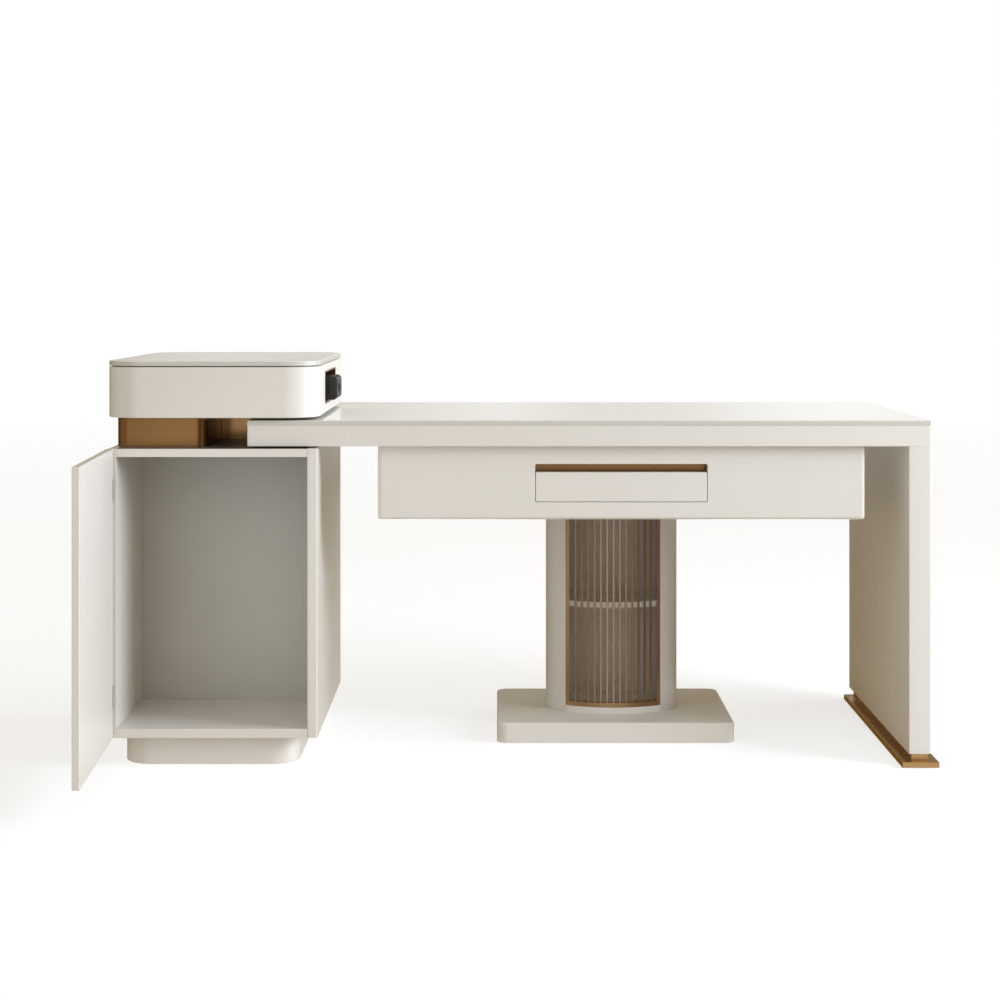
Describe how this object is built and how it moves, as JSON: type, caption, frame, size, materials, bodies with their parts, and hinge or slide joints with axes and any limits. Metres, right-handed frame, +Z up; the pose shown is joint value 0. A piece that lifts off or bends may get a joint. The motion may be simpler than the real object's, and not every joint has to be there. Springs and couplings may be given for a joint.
{
  "type": "manicure table",
  "caption": "Manicure desk with a glass top on a panel leg and an oval grille pedestal, a shallow drawer, and a side cabinet with a door, raised glass-topped box and socket niche.",
  "frame": {"origin": "centre of the pedestal's foot pad, on the floor", "axes": "+X along the desk to the sitter's right, +Y away from the sitter, +Z up"},
  "size_m": [1.804, 1.1802, 0.8785],
  "materials": {
    "cream_lacquer": "satin lacquer on fibreboard",
    "inner_laminate": "smooth laminate",
    "top_glass": "polished, pale backing",
    "bronze_sheet": "brushed bronze tone",
    "bronze_plate": "brushed bronze tone",
    "steel_hardware": "zinc plated",
    "track_aluminium": "satin anodised",
    "black_plastic": "fine texture",
    "beech": "fluted, bare",
    "felt_grey_rubber": "matte",
    "slip_plastic": "waxy"
  },
  "bodies": {
    "desk": {"apron_back": "cream_lacquer", "apron_bottom": "inner_laminate", "apron_front": "cream_lacquer", "apron_left_side": "cream_lacquer", "apron_right_side": "cream_lacquer", "column_back": "cream_lacquer", "column_bolts": "steel_hardware", "column_floor": "cream_lacquer", "column_shelf": "cream_lacquer", "column_top": "cream_lacquer", "column_wall_left": "cream_lacquer", "column_wall_right": "cream_lacquer", "desktop_glass": "top_glass", "desktop_panel": "cream_lacquer", "drawer_carrier_left": "inner_laminate", "drawer_carrier_right": "inner_laminate", "drawer_rail_left": "steel_hardware", "drawer_rail_right": "steel_hardware", "extension_tracks": "track_aluminium", "grille_bars": "bronze_sheet", "grille_frame": "bronze_sheet", "leg_base_plate": "bronze_plate", "leg_base_riser": "bronze_plate", "leg_dowels": "beech", "leg_glides": "felt_grey_rubber", "pedestal_base_slab": "cream_lacquer", "pedestal_floor_pad": "felt_grey_rubber", "right_leg_panel": "cream_lacquer"},
    "drawer": {"drawer_front": "cream_lacquer", "finger_pull_channel": "bronze_sheet", "drawer_left_side": "inner_laminate", "drawer_right_side": "inner_laminate", "drawer_back": "inner_laminate", "drawer_bottom": "inner_laminate", "drawer_runner_left": "steel_hardware", "drawer_runner_right": "steel_hardware"},
    "side_cabinet": {"cabinet_left_panel": "cream_lacquer", "cabinet_right_panel": "cream_lacquer", "cabinet_top_panel": "cream_lacquer", "cabinet_bottom_panel": "cream_lacquer", "cabinet_inner_back": "inner_laminate", "cabinet_outer_back": "cream_lacquer", "cabinet_plinth": "cream_lacquer", "plinth_glides": "felt_grey_rubber", "spacer_box": "bronze_sheet", "spacer_rear_block": "bronze_sheet", "upper_box_wall": "cream_lacquer", "upper_box_floor": "inner_laminate", "upper_box_top_panel": "inner_laminate", "upper_box_glass": "top_glass", "niche_liner": "bronze_sheet", "cable_gland": "black_plastic", "extension_keys": "steel_hardware", "glide_strips": "slip_plastic", "door_hinge_pins": "steel_hardware"},
    "cabinet_door": {"door_panel": "cream_lacquer", "door_hinge_sockets": "steel_hardware", "door_bumpers": "slip_plastic"},
    "power_module": {"module_housing": "black_plastic", "module_socket_face": "black_plastic"}
  },
  "joints": [
    {"name": "drawer_slide", "type": "slide", "parent": "desk", "child": "drawer", "axis": [0, -1, 0], "range_m": [0, 0.28]},
    {"name": "cabinet_extension", "type": "slide", "parent": "desk", "child": "side_cabinet", "axis": [-1, 0, 0], "range_m": [0, 0.1]},
    {"name": "cabinet_door_hinge", "type": "hinge", "parent": "side_cabinet", "child": "cabinet_door", "pos_m": [-1.105, -0.4365, 0.378], "axis": [0, 0, 1], "range_deg": [-18, 87]},
    {"name": "power_module_slide", "type": "slide", "parent": "side_cabinet", "child": "power_module", "axis": [-1, 0, 0], "range_m": [0, 0.021]}
  ]
}
